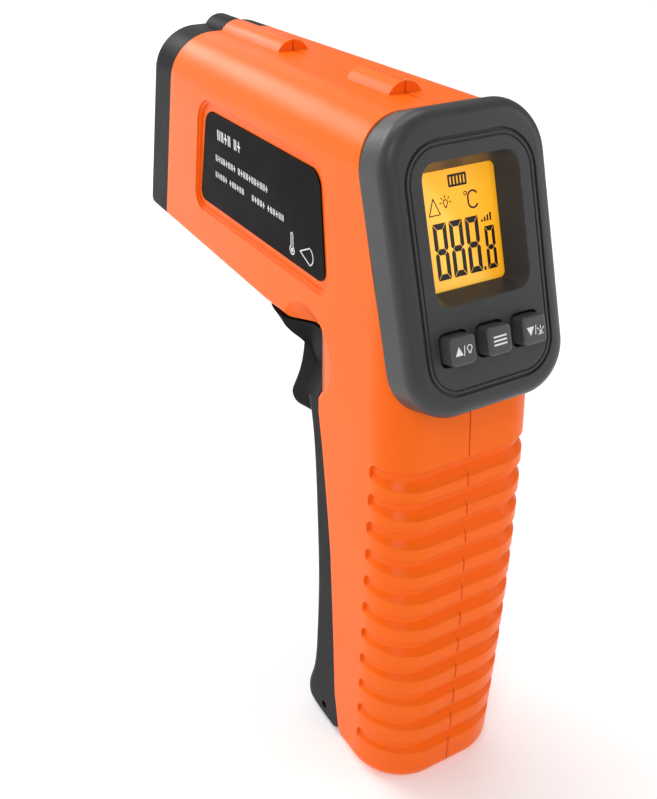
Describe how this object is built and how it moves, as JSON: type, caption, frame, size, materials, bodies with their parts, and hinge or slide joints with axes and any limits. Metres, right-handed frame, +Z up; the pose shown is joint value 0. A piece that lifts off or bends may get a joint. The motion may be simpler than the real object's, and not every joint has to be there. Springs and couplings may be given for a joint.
{
  "type": "infrared thermometer",
  "caption": "Handheld pistol-grip infrared thermometer with amber display, keys, trigger, aiming laser and a hinged battery door in the front of the grip.",
  "frame": {"origin": "middle of the flat foot of the grip", "axes": "+Z up along the grip, +Y towards the nose that is aimed, +X to the right hand side as the user looks along the aim"},
  "size_m": [0.0368, 0.1302, 0.1593],
  "materials": {
    "housing_orange": "semi-matte moulded plastic",
    "housing_grey": "satin dark grey moulding",
    "grip_grey": "satin dark grey moulding",
    "label_black": "printed film label, near black",
    "key_dark": "glossy dark key caps",
    "rubber_plunger": "conductive rubber",
    "window_clear": "clear window",
    "lcd_glass": "amber lit liquid crystal panel",
    "amber_guide": "light guide",
    "zebra_rubber": "striped contact rubber",
    "circuit_board": "green solder mask",
    "black_component": "moulded components",
    "switch_body": "switch body",
    "switch_button": "switch plunger",
    "screw_steel": "plated steel",
    "pin_steel": "ground steel pin",
    "spring_steel": "spring wire",
    "contact_plate": "nickel plated strip",
    "infrared_lens": "milky infrared lens",
    "ring_metal": "retaining ring",
    "sensor_can": "metal sensor can",
    "laser_brass": "turned tube",
    "laser_glass": "laser lens",
    "holder_plastic": "inner moulding",
    "cell_jacket": "wrapped cells"
  },
  "bodies": {
    "body": {"backlight": "amber_guide", "battery_cells": "cell_jacket", "battery_contacts": "contact_plate", "battery_springs": "spring_steel", "battery_tray": "holder_plastic", "board_chips": "black_component", "board_screws": "screw_steel", "contact_strips": "zebra_rubber", "display_board": "circuit_board", "display_window": "window_clear", "door_hinge_pin": "pin_steel", "housing_left": "housing_orange", "housing_right": "housing_orange", "housing_screws": "screw_steel", "ir_lens": "infrared_lens", "key_switches": "black_component", "label_left": "label_black", "label_right": "label_black", "laser_holder": "holder_plastic", "laser_lens": "laser_glass", "laser_module": "laser_brass", "lcd_panel": "lcd_glass", "lens_retainer": "ring_metal", "lens_tube": "black_component", "nose_cap": "housing_grey", "rear_bezel": "housing_grey", "sensor_board": "circuit_board", "thermopile_sensor": "sensor_can", "trigger_board": "circuit_board", "trigger_pin": "pin_steel", "trigger_spring": "spring_steel", "trigger_switch": "switch_body"},
    "trigger": {"trigger": "grip_grey"},
    "switch_plunger": {"switch_plunger": "switch_button"},
    "button_up": {"button_up": "key_dark", "key_plunger_up": "rubber_plunger"},
    "button_mode": {"button_mode": "key_dark", "key_plunger_mode": "rubber_plunger"},
    "button_down": {"button_down": "key_dark", "key_plunger_down": "rubber_plunger"},
    "battery_door": {"battery_door": "grip_grey"}
  },
  "joints": [
    {"name": "trigger_pull", "type": "hinge", "parent": "body", "child": "trigger", "pos_m": [0, 0.036, 0.114], "axis": [-1, 0, 0], "range_deg": [0, 5.5], "stiffness_Nm_per_rad": 0.9, "springref_deg": -171.89, "deforming": ["trigger_spring"]},
    {"name": "plunger_push", "type": "slide", "parent": "body", "child": "switch_plunger", "axis": [0, -1, 0], "range_m": [0, 0.0019], "stiffness_N_per_m": 2, "springref_m": -0.001},
    {"name": "battery_door_open", "type": "hinge", "parent": "body", "child": "battery_door", "pos_m": [0, 0.0185, 0.005], "axis": [-1, 0, 0], "range_deg": [0, 95]},
    {"name": "button_up_press", "type": "slide", "parent": "body", "child": "button_up", "axis": [0, 0.9566, -0.2914], "range_m": [0, 0.0006], "stiffness_N_per_m": 1500, "springref_m": -0.0001},
    {"name": "button_mode_press", "type": "slide", "parent": "body", "child": "button_mode", "axis": [0, 0.9566, -0.2914], "range_m": [0, 0.0006], "stiffness_N_per_m": 1500, "springref_m": -0.0001},
    {"name": "button_down_press", "type": "slide", "parent": "body", "child": "button_down", "axis": [0, 0.9566, -0.2914], "range_m": [0, 0.0006], "stiffness_N_per_m": 1500, "springref_m": -0.0001}
  ],
  "couplings": [
    {"joint": "plunger_push", "follows": "trigger_pull", "m_per_rad": 0.019}
  ]
}
